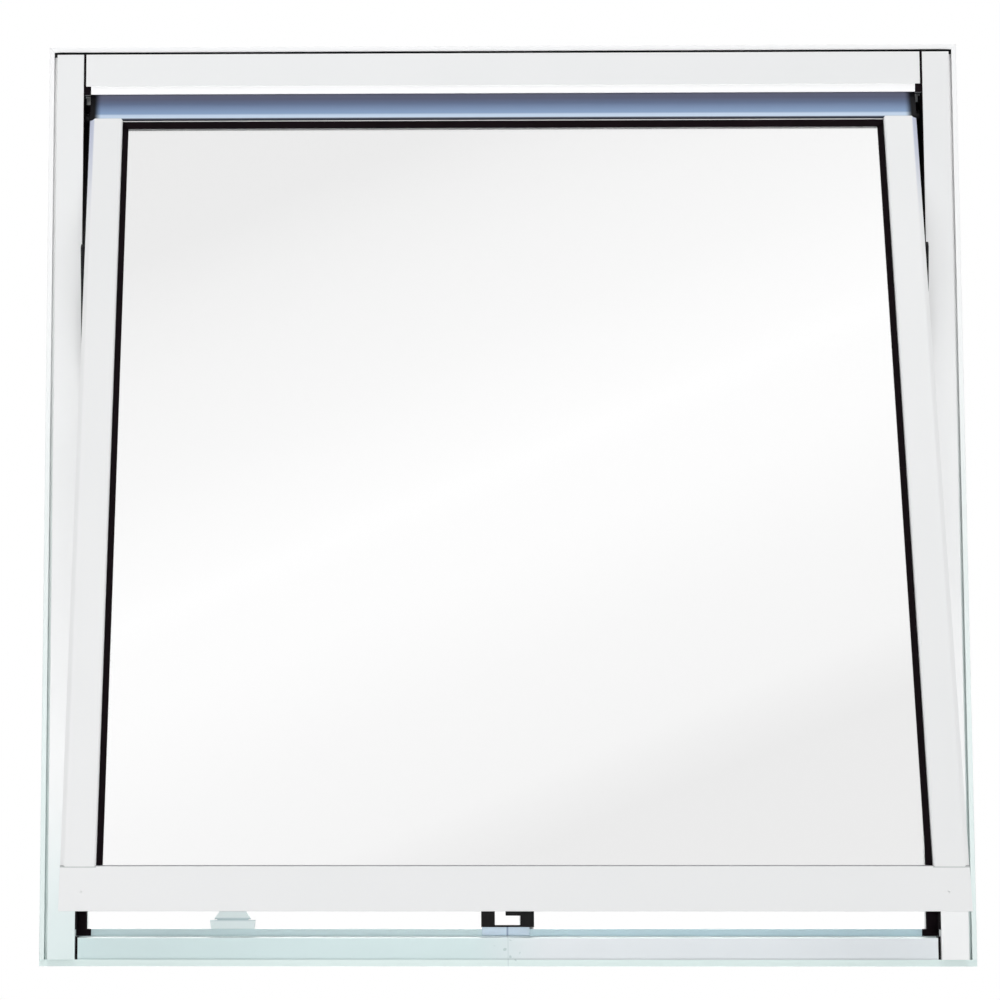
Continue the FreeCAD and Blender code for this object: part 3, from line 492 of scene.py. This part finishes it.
def addHeads(name, look, material, places):
    # places: a point in metres and the way its head faces
    data = bpy.data.meshes.new(name + "_points")
    data.from_pydata([tuple(point) for point, facing in places], [], [])
    facings = data.attributes.new("facing", "FLOAT_VECTOR", "POINT")
    for number, (point, facing) in enumerate(places):
        facings.data[number].vector = facing
    holder = bpy.data.objects.new(name + "_points", data)
    bpy.context.scene.collection.objects.link(holder)
    grow = holder.modifiers.new("heads", "NODES")
    grow.node_group = headNodes
    values = {"Head radius": look["radius"] * mm, "Head height": look["height"] * mm,
              "Recess width": look["recessWidth"] * mm, "Recess depth": look["recessDepth"] * mm, "Finish": material}
    for item in headNodes.interface.items_tree:
        if item.in_out == "INPUT" and item.name in values:
            grow[item.identifier] = values[item.name]
    graph = bpy.context.evaluated_depsgraph_get()
    mesh = bpy.data.meshes.new_from_object(holder.evaluated_get(graph))
    mesh.name = name
    bpy.data.objects.remove(holder)
    for face in mesh.polygons:
        face.use_smooth = True
    mesh.set_sharp_from_angle(angle=math.radians(35))
    piece = bpy.data.objects.new(name, mesh)
    bpy.context.scene.collection.objects.link(piece)
    mesh.materials.clear()
    mesh.materials.append(material)
    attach(piece, "root")
    print(name, "made:", len(places))
    return piece


cornerScrews = {"radius": 3.4, "height": 1.9, "recessWidth": 0.9, "recessDepth": 1.6, "outX": 450.0,
                "places": ((8.7, 907.5), (24.5, 7.5))}
places = [(Vector((side * cornerScrews["outX"], y, z)) * mm, (side, 0, 0))
          for side in (-1, 1) for y, z in cornerScrews["places"]]
addHeads("frame_corner_screws", cornerScrews, screwSteel, places)

stayScrews = {"radius": 3.0, "height": 1.0, "recessWidth": 0.8, "recessDepth": 1.2, "trackX": 429.0, "barX": 419.0,
              "y": 9.2, "trackZ": (492.0, 588.0, 684.0, 780.0), "barDrops": (46.0, 86.0, 126.0)}
places = []
for side in (-1, 1):
    for z in stayScrews["trackZ"]:
        places.append((Vector((side * stayScrews["trackX"], stayScrews["y"], z)) * mm, (-side, 0, 0)))
addHeads("stay_track_screws", stayScrews, blackSteel, places)
places = []
for side in (-1, 1):
    for drop in stayScrews["barDrops"]:
        places.append((onSash(side * stayScrews["barX"], drop + 16.0, 20.0), (side, 0, 0)))
addHeads("stay_bar_screws", {**stayScrews, "height": 0.4, "radius": 2.6}, blackSteel, places)

railScrews = {"radius": 1.7, "height": 0.35, "recessWidth": 0.5, "recessDepth": 0.6, "x": 396.0, "drop": 829.0}
places = [(onSash(side * railScrews["x"], railScrews["drop"], 0.0), sashFront) for side in (-1, 1)]
addHeads("sash_corner_screws", railScrews, whiteCoat, places)

winderScrews = {"radius": 3.0, "height": 0.9, "recessWidth": 0.8, "recessDepth": 1.1, "x": 62.0, "y": 68.0, "z": 19.7,
                "bracketX": 12.5, "chainX": 21.4, "bracketDrop": 827.0, "bracketDepth": 36.0}
places = [(Vector((side * winderScrews["x"], winderScrews["y"], winderScrews["z"])) * mm, (0, 1, 0)) for side in (-1, 1)]
places += [(onSash(winderScrews["chainX"] + side * winderScrews["bracketX"], winderScrews["bracketDrop"],
                   winderScrews["bracketDepth"]), sashBack) for side in (-1, 1)]
addHeads("winder_screws", winderScrews, screwSteel, places)


studio = {
    "backdropRadius": 14.0, "backdrop": 1.0,
    "sky": (0.205, 0.21, 0.215),
    "overhead": 1.71, "overheadElevation": 74, "overheadSoftness": 22,
    "bounce": 1.66, "bounceElevation": -55, "bounceSoftness": 30,
    "front": 0.78, "frontElevation": -2, "frontSoftness": 8,
    "back": 1.4, "backElevation": 12, "backAzimuth": 180, "backSoftness": 30,
    "side": 0.6, "sideElevation": 14, "sideAzimuth": 108, "sideSoftness": 30,
    "cardStrength": 3.85,
}


def addObject(name, data):
    thing = bpy.data.objects.new(name, data)
    bpy.context.scene.collection.objects.link(thing)
    return thing


def emission(name, strength, colour=(1, 1, 1, 1)):
    material, tree = newMaterial(name)
    glow = addNode(tree, "ShaderNodeEmission", None, {"Color": colour, "Strength": strength})
    addNode(tree, "ShaderNodeOutputMaterial", None, None, {"Surface": glow.outputs["Emission"]})
    return material


def makeBackdrop():
    # white paper all round, seen past and through the glass; it lights nothing
    mesh = bmesh.new()
    bmesh.ops.create_uvsphere(mesh, u_segments=48, v_segments=24, radius=studio["backdropRadius"])
    data = bpy.data.meshes.new("backdrop")
    mesh.to_mesh(data)
    mesh.free()
    backdrop = addObject("backdrop", data)
    setFinish(backdrop, emission("white paper", studio["backdrop"]))
    backdrop.visible_diffuse = False
    backdrop.visible_glossy = False
    backdrop.visible_shadow = False


# a soft white card in front and above, turned so that the glass mirrors it as a slanting pale band
card = {"from": (0, -0.12, 0.46), "distance": 3.0, "elevation": 37.0, "half": 1.6, "turn": 23.0,
        "stops": ((0.0, 0.0), (0.285, 0.0), (0.308, 0.24), (0.326, 0.48), (0.39, 0.64), (0.425, 0.79), (0.451, 0.89),
                  (0.488, 0.92), (0.504, 1.0), (0.522, 0.89), (0.549, 0.79), (0.577, 0.65), (0.632, 0.48), (0.668, 0.30),
                  (0.704, 0.03), (0.77, 0.0), (1.0, 0.0))}


def makeCard():
    material, tree = newMaterial("softbox card")
    place = addNode(tree, "ShaderNodeTexCoord")
    split = addNode(tree, "ShaderNodeSeparateXYZ", None, None, {"Vector": place.outputs["UV"]})
    first, *middle, last = [(position, (value, value, value, 1)) for position, value in card["stops"]]
    fade = addNode(tree, "ShaderNodeValToRGB", None, None, {"Fac": split.outputs["Y"]}, [first, last, *middle])
    glow = addNode(tree, "ShaderNodeEmission", None, {"Strength": studio["cardStrength"]}, {"Color": fade.outputs["Color"]})
    addNode(tree, "ShaderNodeOutputMaterial", None, None, {"Surface": glow.outputs["Emission"]})
    data = bpy.data.meshes.new("softboxCard")
    half = card["half"]
    data.from_pydata([(-half, -half, 0), (half, -half, 0), (half, half, 0), (-half, half, 0)], [], [(0, 1, 2, 3)])
    uv = data.uv_layers.new(name="card")
    for loop, pair in enumerate(((0, 0), (1, 0), (1, 1), (0, 1))):
        uv.data[loop].uv = pair
    piece = addObject("softboxCard", data)
    lift = math.radians(card["elevation"])
    outward = Vector((0, -math.cos(lift), math.sin(lift)))
    turn = Matrix.Rotation(math.radians(card["turn"]), 4, "Z")
    face = outward.to_track_quat("Z", "Y").to_matrix().to_4x4()
    piece.matrix_world = Matrix.Translation(Vector(card["from"]) + outward * card["distance"]) @ face @ turn
    setFinish(piece, material)
    piece.visible_camera = False
    piece.visible_diffuse = False
    piece.visible_shadow = False
    piece.visible_transmission = False


def addSun(name, strength, elevation, softness, colour, azimuth=0.0):
    lamp = bpy.data.lights.new(name, "SUN")
    lamp.energy = strength
    lamp.angle = math.radians(softness)
    lamp.color = colour
    sun = addObject(name, lamp)
    e, a = math.radians(elevation), math.radians(azimuth)
    toLamp = Vector((math.sin(a) * math.cos(e), -math.cos(a) * math.cos(e), math.sin(e)))
    sun.rotation_mode = "QUATERNION"
    sun.rotation_quaternion = toLamp.to_track_quat("Z", "Y")
    return sun


def makeFloor():
    # pale floor well below the window, out of the photo's view; like the backdrop it lights and shades nothing
    mesh = bmesh.new()
    bmesh.ops.create_grid(mesh, x_segments=1, y_segments=1, size=14.0)
    data = bpy.data.meshes.new("floor")
    mesh.to_mesh(data)
    mesh.free()
    data.transform(Matrix.Translation((0, 0, -2.8)))
    floor = addObject("floor", data)
    material, tree = newMaterial("pale floor")
    shader = addNode(tree, "ShaderNodeBsdfPrincipled", None, {"Base Color": linear("#F0F0EF"), "Roughness": 0.7})
    addNode(tree, "ShaderNodeOutputMaterial", None, None, {"Surface": shader.outputs["BSDF"]})
    setFinish(floor, material)
    floor.visible_diffuse = False
    floor.visible_glossy = False
    floor.visible_shadow = False


makeBackdrop()
makeFloor()
makeCard()
addSun("overheadLight", studio["overhead"], studio["overheadElevation"], studio["overheadSoftness"], (1.0, 0.995, 0.99))
addSun("bounceLight", studio["bounce"], studio["bounceElevation"], studio["bounceSoftness"], (0.99, 0.995, 1.0))
addSun("frontLight", studio["front"], studio["frontElevation"], studio["frontSoftness"], (1.0, 1.0, 1.0))
# the lights behind the wall's plane reach no outdoor face: they are there for the other views
addSun("backLight", studio["back"], studio["backElevation"], studio["backSoftness"], (1.0, 1.0, 1.0), studio["backAzimuth"])
for side in (-1, 1):
    addSun("sideLight", studio["side"], studio["sideElevation"], studio["sideSoftness"], (1.0, 1.0, 1.0), side * studio["sideAzimuth"])
world = bpy.data.worlds.new("studio")
world.use_nodes = True
world.node_tree.nodes["Background"].inputs["Color"].default_value = (*studio["sky"], 1)
bpy.context.scene.world = world

picture = {"x": -0.0998, "y": -3.114, "z": 0.0795, "up": 6.928, "right": -0.873, "focalPx": 3142.4, "shiftPx": 143.4,
           "widthPx": 1000, "sensorMm": 36.0}


def makeCamera():
    data = bpy.data.cameras.new("camera")
    data.sensor_width = picture["sensorMm"]
    data.lens = picture["focalPx"] * picture["sensorMm"] / picture["widthPx"]
    data.shift_x = picture["shiftPx"] / picture["widthPx"]
    camera = addObject("camera", data)
    up, right = math.radians(picture["up"]), math.radians(picture["right"])
    forward = Vector((math.sin(right) * math.cos(up), math.cos(right) * math.cos(up), math.sin(up)))
    camera.rotation_mode = "QUATERNION"
    camera.rotation_quaternion = forward.to_track_quat("-Z", "Y")
    camera.location = (picture["x"], picture["y"], picture["z"])
    bpy.context.scene.camera = camera


makeCamera()
bpy.context.scene.view_settings.view_transform = "Standard"
print("stage, light and camera set")
